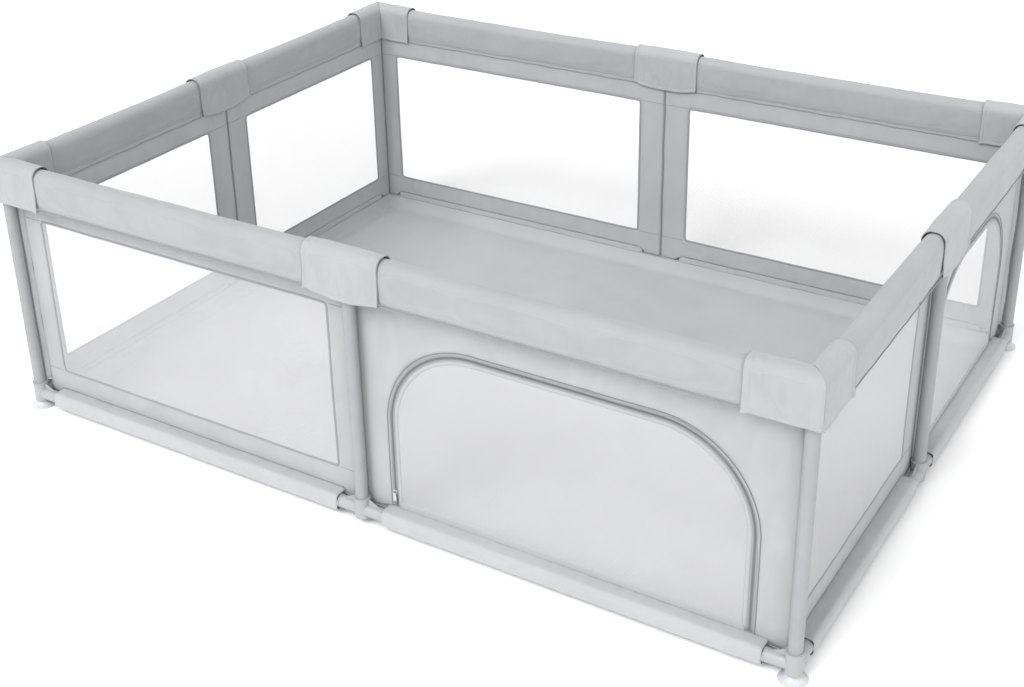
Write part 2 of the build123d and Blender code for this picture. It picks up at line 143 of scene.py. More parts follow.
def extrude(name, u, section, normals=None, off=0.0, lift=0.0):
    """A cross-section of (inwards, up) points at each u, moved `off` along its normals."""
    shift = 0.0 if normals is None else normals[None] * np.asarray(off)[..., None]
    moved = section[None] + shift
    return place(name, u, moved[..., 1] + lift, -moved[..., 0])


def ripple(points, size, seed, octaves=3):
    """Smooth noise of about -1 to 1 at each point, from a few seeded waves."""
    random = np.random.default_rng(seed)
    total = np.zeros(points.shape[:-1])
    weight = 1.0
    for _ in range(octaves):
        for _ in range(4):
            direction = random.normal(size=3)
            direction *= 2 * math.pi / (size * np.linalg.norm(direction))
            total += weight * np.sin(points @ direction + random.uniform(0, 2 * math.pi))
        weight *= 0.5
        size *= 0.5
    return total / 4


def smooth_step(value, low, high):
    t = np.clip((value - low) / (high - low), 0, 1)
    return t * t * (3 - 2 * t)


def bump(value, centre, width):
    return np.exp(-(((value - centre) / width) ** 2))


def new_object(name, verts, faces, material):
    mesh = bpy.data.meshes.new(name)
    mesh.from_pydata(np.asarray(verts, float).reshape(-1, 3).tolist(), [], faces)
    mesh.validate()
    mesh.shade_smooth()
    mesh.materials.append(material)
    made = bpy.data.objects.new(name, mesh)
    bpy.context.scene.collection.objects.link(made)
    return made


def grid_faces(rows, columns, wrap_rows=False, wrap_columns=False):
    """Quads over a grid of points, which may close on itself either way."""
    faces = []
    for i in range(rows if wrap_rows else rows - 1):
        for j in range(columns if wrap_columns else columns - 1):
            a = i * columns + j
            b = i * columns + (j + 1) % columns
            c = (i + 1) % rows * columns + (j + 1) % columns
            d = (i + 1) % rows * columns + j
            faces.append((a, b, c, d))
    return faces


def tube_faces(count, sides, closed=False):
    """Quads round a row of rings, with a cap on each end unless the row closes on itself."""
    faces = grid_faces(count, sides, wrap_rows=closed, wrap_columns=True)
    if not closed:
        faces.append(tuple(range(sides)))
        faces.append(tuple((count - 1) * sides + k for k in range(sides))[::-1])
    return faces


def grid_object(name, points, material, **wraps):
    rows, columns = points.shape[:2]
    return new_object(name, points, grid_faces(rows, columns, **wraps), material)


def apply_modifiers(made):
    bpy.context.view_layer.update()
    result = made.evaluated_get(bpy.context.evaluated_depsgraph_get())
    mesh = bpy.data.meshes.new_from_object(result)
    made.modifiers.clear()
    made.data = mesh
    return made


def thicken(made, thickness=CLOTH):
    modifier = made.modifiers.new("cloth", "SOLIDIFY")
    modifier.thickness = thickness
    modifier.offset = 0.0
    return apply_modifiers(made)


def fix_normals(made):
    mesh = bmesh.new()
    mesh.from_mesh(made.data)
    bmesh.ops.recalc_face_normals(mesh, faces=mesh.faces)
    mesh.to_mesh(made.data)
    mesh.free()
    return made


def cloth(name, points, material, thickness=CLOTH, **wraps):
    """A sheet of fabric with its thickness, over a grid of points."""
    return thicken(fix_normals(grid_object(name, points, material, **wraps)), thickness)


def vertex_places(made):
    return np.array([v.co for v in made.data.vertices])


def move_vertices(made, places):
    made.data.vertices.foreach_set("co", places.ravel())
    made.data.update()


def settle(made, body="root", replaces=()):
    """Give a finished piece its body, and hide the CAD nodes it stands for."""
    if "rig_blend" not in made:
        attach(made, body)
    if replaces:
        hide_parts(*replaces)
    return made


def along_path(path, closed=False):
    """Unit vectors along a path."""
    if closed:
        step = np.roll(path, -1, axis=0) - np.roll(path, 1, axis=0)
    else:
        step = np.gradient(path, axis=0)
    return step / np.linalg.norm(step, axis=1)[:, None]


def even_path(path, step, closed=False):
    """The same path with points about `step` apart; columns after the third go along."""
    if closed:
        path = np.vstack([path, path[:1]])
    length = np.linalg.norm(np.diff(path[:, :3], axis=0), axis=1)
    total = np.concatenate([[0], np.cumsum(length)])
    count = max(int(total[-1] / step), 2)
    at = np.linspace(0, total[-1], count + 1)
    if closed:
        at = at[:-1]
    return np.stack([np.interp(at, total, path[:, k]) for k in range(path.shape[1])], axis=1)


def rounded_outline(corners, points):
    """Arcs round corners given as (x, z, radius, first angle), joined by straight runs."""
    outline = []
    for x, z, radius, start in corners:
        for turn in np.radians(np.linspace(start, start + 90, points)):
            outline.append((x + radius * math.cos(turn), z + radius * math.sin(turn)))
    return np.array(outline)


def sweep(name, path, normal, profile, material, body="root", closed=False):
    """A solid strip along a path: the profile's x goes across it and its y along the normal."""
    ahead = along_path(path, closed)
    normal = np.broadcast_to(np.asarray(normal, float), path.shape)
    across = np.cross(ahead, normal)
    across /= np.linalg.norm(across, axis=1)[:, None]
    rings = (
        path[:, None]
        + profile[None, :, :1] * across[:, None]
        + profile[None, :, 1:] * normal[:, None]
    )
    made = new_object(name, rings, tube_faces(*rings.shape[:2], closed), material)
    return settle(fix_normals(made), body)


def round_profile(width, height, points=10):
    """A flattened round section."""
    turn = np.linspace(0, 2 * math.pi, points, endpoint=False)
    return np.stack([np.cos(turn) * width / 2, np.sin(turn) * height / 2], axis=1)


def flat_profile(width, height):
    """A ribbon's section with softened edges."""
    x, y, soft = width / 2, height / 2, min(width, height) * 0.3
    return np.array(
        [
            (-x, -y + soft), (-x + soft, -y), (0, -y), (x - soft, -y),
            (x, -y + soft), (x, y - soft), (x - soft, y), (0, y),
            (-x + soft, y), (-x, y - soft),
        ]
    )


def scatter(name, template, template_faces, places, ahead, normal, material):
    """Copies of a small shape at places: its x goes ahead, its z along the normal."""
    normal = np.broadcast_to(np.asarray(normal, float), places.shape)
    across = np.cross(normal, ahead)
    verts = (
        places[:, None]
        + template[None, :, :1] * ahead[:, None]
        + template[None, :, 1:2] * across[:, None]
        + template[None, :, 2:] * normal[:, None]
    )
    size = len(template)
    faces = [tuple(i * size + k for k in f) for i in range(len(places)) for f in template_faces]
    return new_object(name, verts, faces, material)


STITCH_FACES = [
    (0, 1, 2), (0, 2, 3), (0, 3, 4), (0, 4, 1),
    (5, 2, 1), (5, 3, 2), (5, 4, 3), (5, 1, 4),
]


def stitches(name, path, normal, body="root", closed=False):
    """A row of raised thread stitches on a surface."""
    normal = np.broadcast_to(np.asarray(normal, float), path.shape)
    path = even_path(np.hstack([path, normal]), STITCH_PITCH, closed)
    path, normal = path[:, :3], path[:, 3:]
    reach, radius = STITCH_PITCH * 0.36, 0.00045
    template = np.array(
        [
            (-reach, 0, -radius), (0, -radius, 0), (0, 0, radius),
            (0, radius, 0), (0, 0, -radius), (reach, 0, -radius),
        ]
    )
    ahead = along_path(path, closed)
    return settle(scatter(name, template, STITCH_FACES, path, ahead, normal, THREAD), body)


# ---------------------------------------------------------------- materials


def set_inputs(tree, node, inputs):
    """Sets a node's inputs to values, or links them to other nodes' outputs."""
    for key, value in inputs.items():
        if isinstance(value, bpy.types.NodeSocket):
            tree.links.new(value, node.inputs[key])
        else:
            node.inputs[key].default_value = value


def add_node(tree, kind, inputs=None, **settings):
    node = tree.nodes.new("ShaderNode" + kind)
    for key, value in settings.items():
        setattr(node, key, value)
    set_inputs(tree, node, inputs or {})
    return node


def maths(tree, operation, *values):
    node = add_node(tree, "Math", dict(enumerate(values)), operation=operation)
    return node.outputs["Value"]


def noise(tree, coordinates, scale, detail, distortion=0.0):
    inputs = {"Vector": coordinates, "Scale": scale, "Detail": detail, "Distortion": distortion}
    return add_node(tree, "TexNoise", inputs).outputs["Fac"]


def remap(tree, value, given, wanted, **settings):
    """Maps the range `given` of a value to the range `wanted`."""
    names = ("From Min", "From Max", "To Min", "To Max")
    inputs = {"Value": value, **dict(zip(names, (*given, *wanted)))}
    return add_node(tree, "MapRange", inputs, **settings).outputs["Result"]


def relief(tree, height, strength, distance, **inputs):
    """Surface normals bent by a height."""
    inputs |= {"Height": height, "Strength": strength, "Distance": distance}
    return add_node(tree, "Bump", inputs).outputs["Normal"]


def node_material(name):
    """A new material with its node tree, its shader and its object coordinates."""
    material = bpy.data.materials.new(name)
    material.use_nodes = True
    tree = material.node_tree
    coordinates = add_node(tree, "TexCoord").outputs["Object"]
    return material, tree, tree.nodes["Principled BSDF"], coordinates


def mottled_colour(tree, coordinates, colour, amount, scale):
    """A colour that varies a little from place to place."""
    ramp = add_node(tree, "ValToRGB", {"Fac": noise(tree, coordinates, scale, 4.0)})
    darker, lighter = ramp.color_ramp.elements[0], ramp.color_ramp.elements[1]
    darker.position = 0.3
    lighter.position = 0.7
    darker.color = (*(c * (1 - amount) for c in colour), 1)
    lighter.color = (*(min(c * (1 + amount), 1) for c in colour), 1)
    return ramp.outputs["Color"]


def fabric(name, colour, thread=0.0013, depth=0.3):
    """Woven polyester: a fine grid of threads with painted shade between them, soft creases and a faint
    sheen.
    """
    material, tree, shader, coordinates = node_material(name)
    wave_scale = 2 * math.pi / (20 * thread)
    waves = [
        add_node(
            tree, "TexWave", {"Vector": coordinates, "Scale": wave_scale, "Distortion": 0.4},
            wave_type="BANDS", bands_direction=direction,
        ).outputs["Fac"]
        for direction in "XYZ"
    ]
    height = maths(tree, "ADD", maths(tree, "ADD", waves[0], waves[1]), waves[2])
    creases = relief(tree, noise(tree, coordinates, 38.0, 3.0, 0.6), 0.16, 0.004)
    plain = mottled_colour(tree, coordinates, colour, 0.035, 9.0)
    between = remap(tree, height, (0.2, 2.6), (0.93, 1.04))  # painted shade: darker between the threads, a little lighter on their crowns
    shade = add_node(
        tree, "Mix", {"Factor": 1.0, "A": plain, "B": between},
        data_type="RGBA", blend_type="MULTIPLY",
    )
    set_inputs(
        tree, shader,
        {
            "Base Color": shade.outputs["Result"],
            "Normal": relief(tree, height, depth, 0.0004, Normal=creases),
            "Roughness": 0.82, "Specular IOR Level": 0.25,
            "Sheen Weight": 0.25, "Sheen Roughness": 0.5,
        },
    )
    return material


def netting(name, colour):
    """Knitted mesh with small staggered holes."""
    pitch = 0.0024
    material, tree, shader, coordinates = node_material(name)
    parts = add_node(tree, "SeparateXYZ", {"Vector": coordinates}).outputs
    level = maths(tree, "ADD", parts["X"], parts["Y"])
    waves = [
        maths(tree, "COSINE", maths(tree, "MULTIPLY", value, 2 * math.pi * stretch / pitch))
        for value, stretch in ((level, 1.0), (parts["Z"], 0.8))
    ]
    size = maths(tree, "ABSOLUTE", maths(tree, "ADD", *waves))
    thread = remap(tree, size, (0.575, 0.775), (1.0, 0.0), interpolation_type="SMOOTHSTEP")
    set_inputs(
        tree, shader,
        {
            "Base Color": mottled_colour(tree, coordinates, colour, 0.02, 12.0),
            "Normal": relief(tree, thread, 0.4, 0.0005), "Alpha": thread,
            "Roughness": 0.75, "Sheen Weight": 0.2,
        },
    )
    return material


def hard(name, colour, rough, metallic=0.0, grain=900.0, depth=0.06, amount=0.03):
    """Moulded plastic, painted tube or polished metal with a fine surface grain."""
    material, tree, shader, coordinates = node_material(name)
    scuffs = noise(tree, coordinates, 60.0, 6.0)
    set_inputs(
        tree, shader,
        {
            "Base Color": mottled_colour(tree, coordinates, colour, amount, 25.0),
            "Normal": relief(tree, noise(tree, coordinates, grain, 2.0), depth, 0.0004),
            "Roughness": remap(tree, scuffs, (0.35, 0.7), (rough * 0.85, min(rough * 1.25, 1))),
            "Metallic": metallic,
        },
    )
    return material


def cloudy_rubber(name, colour):
    """Milky, slightly see-through suction cup rubber."""
    material = hard(name, colour, 0.3, grain=400.0, depth=0.03)
    tree = material.node_tree
    set_inputs(
        tree, tree.nodes["Principled BSDF"],
        {
            "Transmission Weight": 0.15, "IOR": 1.42,
            "Subsurface Weight": 0.3, "Subsurface Scale": 0.004,
        },
    )
    return material


RAIL_FABRIC = fabric("rail fabric", (0.332, 0.336, 0.346))
WRAP_FABRIC = fabric("wrap fabric", (0.355, 0.359, 0.368), thread=0.0015)
WALL_FABRIC = fabric("wall fabric", (0.372, 0.376, 0.385), thread=0.0012, depth=0.25)
SLEEVE_FABRIC = fabric("sleeve fabric", (0.395, 0.399, 0.410))
MAT_FABRIC = fabric("mat fabric", (0.375, 0.379, 0.390), thread=0.0016, depth=0.2)
SEAM_FABRIC = fabric("seam fabric", (0.195, 0.198, 0.206), thread=0.0010)
BINDING_FABRIC = fabric("binding fabric", (0.262, 0.266, 0.276), thread=0.0010)
THREAD = fabric("thread", (0.27, 0.274, 0.284), thread=0.0006, depth=0.1)
WINDOW_NET = netting("window netting", (0.66, 0.66, 0.67))
DOOR_NET = netting("door netting", (0.62, 0.62, 0.63))
TAPE_FABRIC = fabric("zip tape", (0.26, 0.263, 0.27), thread=0.0009)
ZIP_COIL = hard("zip coil", (0.18, 0.182, 0.186), 0.4, grain=500.0, depth=0.03)
POST_PAINT = hard("post paint", (0.290, 0.294, 0.304), 0.50, grain=300.0, depth=0.004)
CONNECTOR_PLASTIC = hard("connector plastic", (0.335, 0.339, 0.348), 0.42, grain=700.0)
TUBE_PAINT = hard("tube paint", (0.26, 0.265, 0.27), 0.4)
ZIP_METAL = hard("zip metal", (0.62, 0.62, 0.63), 0.2, metallic=1.0, grain=300.0)
CUP_RUBBER = cloudy_rubber("suction cup rubber", (0.62, 0.64, 0.66))


# ---------------------------------------------------------------- rails and wraps


def halves(name, end):
    """A side's two stretches between its posts, each ending `end` short of them."""
    half = SIDES[name][3]
    return ("near", end, half - end), ("far", end - half, -end)


def rail_section(inset):
    """The rail's cross-section as (towards the inside, up), flat-sided with a rounded top."""
    half = RAIL_HALF_WIDTH - inset
    low, high = rail_low.z + inset, rail_high.z - inset
    top, foot = RAIL_TOP_RADIUS - inset * 0.5, RAIL_BOTTOM_RADIUS
    corners = (
        (half - foot, low + foot, foot, -90),
        (half - top, high - top, top, 0),
        (-half + top, high - top, top, 90),
        (-half + foot, low + foot, foot, 180),
    )
    return rounded_outline(corners, 14)


def swell(made, pinned, cap):
    """Inflate a closed pad with a short cloth simulation, no point moving more than `cap`."""
    remesh = made.modifiers.new("remesh", "REMESH")
    remesh.mode = "VOXEL"
    remesh.voxel_size = PAD_VOXEL
    apply_modifiers(made)
    start = vertex_places(made)
    group = made.vertex_groups.new(name="held")
    for index, weight in enumerate(pinned(start)):
        if weight > 0.02:
            group.add([index], float(weight), "REPLACE")
    cloth = made.modifiers.new("cloth", "CLOTH")
    cloth.settings.use_pressure = True
    cloth.settings.uniform_pressure_force = 4.0
    cloth.settings.effector_weights.gravity = 0.0
    cloth.settings.quality = 4
    cloth.settings.vertex_group_mass = "held"
    cloth.settings.tension_stiffness = 12.0
    cloth.settings.compression_stiffness = 12.0
    cloth.collision_settings.use_collision = False
    cloth.point_cache.frame_start = 1
    cloth.point_cache.frame_end = 20
    for number in range(1, 21):
        bpy.context.scene.frame_set(number)
    apply_modifiers(made)
    bpy.context.scene.frame_set(1)
    move = vertex_places(made) - start
    length = np.maximum(np.linalg.norm(move, axis=1)[:, None], 1e-9)
    move *= cap * (1 - np.exp(-length / cap)) / length
    move_vertices(made, start + move)


def rail_pad(name, low, high, label, seed):
    """One padded rail: a flat-sided cushion that the wraps pinch at its ends."""
    count = int((high - low) / 0.012)
    u = np.linspace(low, high, count)
    near_end = np.minimum(u - low, high - u)
    pinch = PAD_END_PINCH * (1 - smooth_step(near_end, 0.03, 0.075))
    sections = np.stack([rail_section(PAD_START_INSET + p) for p in pinch])
    points = place(name, u[:, None], sections[..., 1], -sections[..., 0])
    made = fix_normals(new_object(label, points, tube_faces(*points.shape[:2]), RAIL_FABRIC))
    origin, along, _, _ = SIDES[name]

    def held(where):
        distance = (where - origin) @ along
        ends = np.minimum(distance - low, high - distance)
        return np.maximum(
            1 - smooth_step(ends, 0.0, 0.03), 0.9 * (where[:, 2] < rail_low.z + 0.007)
        )

    swell(made, held, PAD_CAP)
    modifier = made.modifiers.new("smooth", "SUBSURF")
    modifier.levels = modifier.render_levels = 1
    apply_modifiers(made)
    where = vertex_places(made)
    normals = np.array([v.normal for v in made.data.vertices])
    dents = 0.0007 * ripple(where, 0.23, seed) + 0.0003 * ripple(where, 0.05, seed + 50)
    move_vertices(made, where + normals * dents[:, None])
    made.data.shade_smooth()
    family = "long" if name in ("front", "rear") else "short"
    settle(made, replaces=(f"{name}_rail_covers", f"{family}_rail_foams"))


def rail_trim(name, low, high, label):
    """Piping and a row of stitches along both lower edges of a rail."""
    u = np.arange(low, high, 0.006)
    for tag, direction in (("outer", 1), ("inner", -1)):
        facing = SIDES[name][2] * direction
        wave = 0.0006 * np.sin(u * 70 + direction) + 0.0004 * np.sin(u * 31)
        edge = place(
            name, u, rail_low.z + 0.0012 + wave, direction * (RAIL_HALF_WIDTH - 0.0016)
        )
        sweep(
            f"{label}_{tag}_piping", edge, facing, round_profile(0.0030, 0.0030), BINDING_FABRIC,
        )
        row = place(name, u, rail_low.z + 0.0085, direction * (RAIL_HALF_WIDTH - 0.0002))
        stitches(f"{label}_{tag}_stitches", row, facing)


def wrap_section():
    """The wrap's path over the rail, from its outer lower edge to its inner one, with normals."""
    half, top = RAIL_HALF_WIDTH, RAIL_TOP_RADIUS
    low, high = wrap_low.z + 0.0004, rail_high.z
    turn = np.radians(np.linspace(180, 90, 24))
    left = np.stack([-half + top + top * np.cos(turn), high - top + top * np.sin(turn)], axis=1)
    right = left[::-1] * (-1, 1)
    path = np.vstack([[(-half, low)], left, right, [(half, low)]])
    path = even_path(path, 0.0022)
    t = np.linspace(0, 1, 110)
    at = np.linspace(0, 1, len(path))
    path = np.stack([np.interp(t, at, path[:, k]) for k in range(2)], axis=1)
    ahead = along_path(path)
    return path, np.stack([-ahead[:, 1], ahead[:, 0]], axis=1)


def wrap_offset(s, t, where, seed):
    """How far the wrap stands off the rail. s runs to 1 at its ends, t is height above its edge."""
    plump = 0.0004 + 0.0022 * (1 - s**3)
    from_end = (1 - s) * WRAP_REACH
    end_hem = 0.0007 * (from_end < HEM) - 0.0007 * bump(from_end, HEM, 0.0013)
    low_hem = 0.0006 * (t < HEM) - 0.0006 * bump(t, HEM, 0.0013)
    flare = 0.0026 * smooth_step(s, 0.88, 1.0) * (1 - smooth_step(t, 0.0, 0.060))
    folds = 0.0013 * ripple(where * (1, 1, 0.4), 0.055, seed)
    folds = folds * (1 - 0.6 * smooth_step(t, 0.03, 0.09)) * (1 - 0.6 * s**6)
    pucker = 0.0008 * np.sin((where @ np.array([1.0, 1.0, 0.2])) * 260 + seed)
    folds = folds + pucker * smooth_step(s, 0.6, 0.95) * (1 - s**8) * smooth_step(t, 0.04, 0.09)
    return plump + end_hem + low_hem + flare + folds


def wrap_height(path):
    """Distance of each section point from the wrap's lower edges."""
    return path[:, 1] - path[:, 1].min()


def wrap_edge(label, row, name):
    """The bound edge at a wrap's open end."""
    profile = round_profile(0.0026, 0.0022, 8)
    return sweep(label, row, upward(row, name), profile, BINDING_FABRIC)


def middle_wrap(name, seed):
    """A fabric saddle over the middle connector, with hems all round."""
    path, normals = wrap_section()
    u = np.linspace(-WRAP_REACH, WRAP_REACH, 92)
    s = np.abs(u) / WRAP_REACH
    height = wrap_height(path)
    off = wrap_offset(s[:, None], height[None, :], extrude(name, u[:, None], path), seed)
    lift = 0.0105 * s[:, None] ** 2.2 * (1 - smooth_step(height, 0.0, 0.04))[None, :]
    sag = 0.0012 * np.sin(u * 60 + seed)[:, None] * (1 - smooth_step(height, 0, 0.02))[None, :]
    points = extrude(name, u[:, None], path, normals, off, lift + np.maximum(sag, 0))
    label = f"{name}_middle_wrap"
    made = cloth(f"{label}_cloth", points, WRAP_FABRIC, WRAP_CLOTH)
    settle(made, replaces=(f"{name}_middle_wrap",))
    for tag, end, hem in (("left", 0, 4), ("right", -1, -5)):
        row = points[hem, 6:-6]
        stitches(f"{label}_{tag}_stitches", row, upward(row, name))
        wrap_edge(f"{label}_{tag}_edge", points[end, 2:-2], name)
    for tag, hem, direction in (("outer", 4, 1), ("inner", -5, -1)):
        facing = SIDES[name][2] * direction
        row = points[4:-4, hem]
        stitches(f"{label}_{tag}_stitches", row, facing)


def upward(row, name):
    """Normals across a saddle: away from the middle of the rail."""
    origin, _, outward, _ = SIDES[name]
    away = ((row - origin) @ outward)[:, None] * outward
    away[:, 2] += np.maximum(row[:, 2] - (rail_high.z - 0.03), 0)
    return away / np.maximum(np.linalg.norm(away, axis=1), 1e-6)[:, None]


def corner_arm(name, at_right, seed):
    """One arm of a corner wrap, from its hem to the mitre, as a grid of points."""
    path, normals = wrap_section()
    half = SIDES[name][3]
    height = wrap_height(path)
    steps = np.linspace(0, 1, 66)
    off_flat = wrap_offset(0.5, height, place(name, half, path[:, 1], -path[:, 0]), seed)
    end = -(path[:, 0] + normals[:, 0] * off_flat)  # the mitre is where along equals out
    slit = 0.0016 * bump(path[:, 0], 0.010, 0.006) * (height > 0.08) + 0.0003
    along = -CORNER_REACH + steps[:, None] * (CORNER_REACH + (end - slit)[None, :])
    s = 1 - steps[:, None] * np.ones_like(along)
    off = wrap_offset(s, height[None, :], extrude(name, half + along, path), seed)
    round_off = 0.0016 * smooth_step(steps, 0.93, 1.0)[:, None] * (path[None, :, 0] < 0)
    inward = path[None, :, 0] + normals[None, :, 0] * (off - round_off)
    z = path[None, :, 1] + normals[None, :, 1] * off
    lift = (0.0072 + 0.0020 * (1 - s) ** 2 - 0.0020 * bump(s, 0.97, 0.05)) * (
        1 - smooth_step(height, 0.0, 0.04)
    )[None, :]
    place_at = half + along if at_right else -half - along
    return place(name, place_at, z + lift, -inward)


def corner_wrap(label, first, seed):
    """An L-shaped wrap over a corner: two arms that meet in a mitre seam."""
    second = NEXT_SIDE[first]
    grids = [corner_arm(first, True, seed), corner_arm(second, False, seed + 7)]
    rows, columns = grids[0].shape[:2]
    faces = grid_faces(rows, columns)
    faces += [tuple(k + rows * columns for k in f) for f in faces]
    points = np.vstack([g.reshape(-1, 3) for g in grids])
    made = fix_normals(new_object(f"{label}_corner_wrap_cloth", points, faces, WRAP_FABRIC))
    thicken(made, WRAP_CLOTH)
    settle(made, replaces=(f"{label}_corner_wrap",))
    for grid, name in zip(grids, (first, second)):
        tag = f"{label}_corner_wrap_{name}"
        row = grid[5, 6:-6]
        stitches(f"{tag}_stitches", row, upward(row, name))
        hem = grid[4:-3, 4]
        stitches(f"{tag}_hem_stitches", hem, SIDES[name][2])
        wrap_edge(f"{tag}_edge", grid[0, 2:-2], name)
    seam = (grids[0][-1, :70] + grids[1][-1, :70]) / 2
    diagonal = SIDES[first][2] + SIDES[second][2]
    sweep(
            f"{label}_corner_wrap_seam", seam[2::2], diagonal / np.linalg.norm(diagonal),
            round_profile(0.0016, 0.0016, 8), BINDING_FABRIC,
        )


def rails():
    seed = 1
    for name in SIDES:
        for tag, low, high in halves(name, RAIL_END):
            label = f"{name}_rail_{tag}"
            rail_pad(name, low, high, f"{label}_pad", seed)
            rail_trim(name, low, high, label)
            seed += 1
        middle_wrap(name, seed + 20)
    for label, first in CORNERS.items():
        seed += 1
        corner_wrap(label, first, seed + 40)


# ---------------------------------------------------------------- walls


def side_points(start, end, count):
    return np.linspace(start, end, count, endpoint=False)


def window_ring(left, right, low, high, count_across, count_up):
    """Points round a rectangle, evenly on each side, starting at its lower left corner."""
    return np.vstack(
        [
            side_points((left, low), (right, low), count_across),
            side_points((right, low), (right, high), count_up),
            side_points((right, high), (left, high), count_across),
            side_points((left, high), (left, low), count_up),
        ]
    )


def soften(ring, radius, box):
    """Rounds a ring's corners by pulling points in from each corner of its box."""
    left, right, low, high = box
    for x, z in ((left, low), (right, low), (right, high), (left, high)):
        centre = np.array([x + math.copysign(radius, (left + right) / 2 - x),
                           z + math.copysign(radius, (low + high) / 2 - z)])
        near = (np.abs(ring - (x, z)) < radius + 1e-9).all(axis=1)
        away = ring[near] - centre
        size = np.linalg.norm(away, axis=1)[:, None]
        ring[near] = centre + away * np.minimum(1, radius / np.maximum(size, 1e-9))
    return ring


def arch_path(name, inset, bottom, step=0.006):
    """The zip's arch as points (u, z) from its lower left end, drawn in by `inset`."""
    origin, along, _, _ = SIDES[name]
    low, high = (np.array(c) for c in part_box(f"{name}_zip_chain"))
    left = (low - origin) @ along + TAPE_EDGE + inset
    right = (high - origin) @ along - TAPE_EDGE - inset
    top = high[2] - TAPE_EDGE - inset
    radius = ZIP_RADIUS - inset
    turn = np.radians(np.linspace(180, 90, 40))
    first = np.stack([left + radius * (1 + np.cos(turn)), top - radius * (1 - np.sin(turn))], axis=1)
    second = first[::-1] * (-1, 1) + (left + right, 0)
    path = np.vstack([[(left, bottom)], first, second, [(right, bottom)]])
    return even_path(path, step)


def cloth_shape(name, u, z, off=0.0):
    """Places wall cloth, with soft tension ripples that fade at its edges and the posts."""
    u, z = np.broadcast_arrays(np.asarray(u, float), np.asarray(z, float))
    flat = place(name, u, z, -WALL_INSET)
    edge = np.minimum(z - sleeve_high.z, rail_low.z - z)
    from_post = np.minimum(np.abs(u), SIDES[name][3] - np.abs(u))
    calm = smooth_step(edge, -0.001, 0.03) * smooth_step(from_post, 0.016, 0.06)
    seed = 100 + 5 * list(SIDES).index(name)
    waves = 0.0011 * ripple(flat * (1, 1, 0.55), 0.19, seed)
    waves = waves + 0.0009 * ripple(flat * (1, 1, 0.3), 0.06, seed + 1, 2) * bump(edge, 0.02, 0.03)
    return place(name, u, z, -WALL_INSET + calm * waves + off)


def wall_end(name):
    """Where a wall's cloth ends at a corner."""
    low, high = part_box(f"{name}_wall_border")
    origin, along, _, _ = SIDES[name]
    return max((np.array(low) - origin) @ along, (np.array(high) - origin) @ along)


def hem_level(name, u):
    """The wall's lower edge: hidden in the sleeve, and lower where a connector parts the sleeves."""
    from_post = np.minimum(np.abs(u), SIDES[name][3] - np.abs(u))
    return WALL_BOTTOM - HEM_DROP * (1 - smooth_step(from_post, 0.050, 0.060))


def window_wall(name, direction, label):
    """A wall half with a rectangular window: border cloth, binding, stitches and netting."""
    end = wall_end(name)
    height = WALL_TOP - WALL_BOTTOM
    counts = int(end / 0.014), int(height / 0.012)
    window = (WINDOW_MARGIN, SIDES[name][3] - WINDOW_MARGIN, window_low.z, window_high.z)
    left, right, low, high = window
    outer = window_ring(0.0002, end, WALL_BOTTOM, WALL_TOP, *counts)
    hem = outer[:, 1] <= WALL_BOTTOM + 1e-6
    outer[hem, 1] = hem_level(name, outer[hem, 0])
    inner = soften(window_ring(*window, *counts), WINDOW_RADIUS, window)
    rows = np.linspace(0, 1, 9)[:, None, None]
    ring = outer[None] * (1 - rows) + inner[None] * rows
    points = cloth_shape(name, ring[..., 0] * direction, ring[..., 1])
    border = cloth(f"{label}_border", points, WALL_FABRIC, wrap_columns=True)
    settle(border, replaces=(f"{name}_wall_border",))

    outward = SIDES[name][2]
    edge = even_path(inner, 0.006, closed=True)
    sewn = [
        sweep(
            f"{label}_binding", cloth_shape(name, edge[:, 0] * direction, edge[:, 1]), outward,
            flat_profile(BINDING, 0.0030), BINDING_FABRIC, closed=True,
        )
    ]
    middle = np.array([[(left + right) / 2, (low + high) / 2]])
    grown = middle + (edge - middle) * (1 + 0.010 / np.abs(edge - middle).max(axis=0))
    for tag, face in (("outer", 1), ("inner", -1)):
        row = cloth_shape(name, grown[:, 0] * direction, grown[:, 1], face * CLOTH / 2)
        thread = f"{label}_{tag}_stitches"
        sewn.append(stitches(thread, row, outward * face, closed=True))

    u, z = np.meshgrid(np.linspace(left, right, 60) * direction, np.linspace(low, high, 30))
    net = grid_object(f"{label}_netting", cloth_shape(name, u, z), WINDOW_NET)
    settle(net, replaces=(f"{name}_window_mesh",))


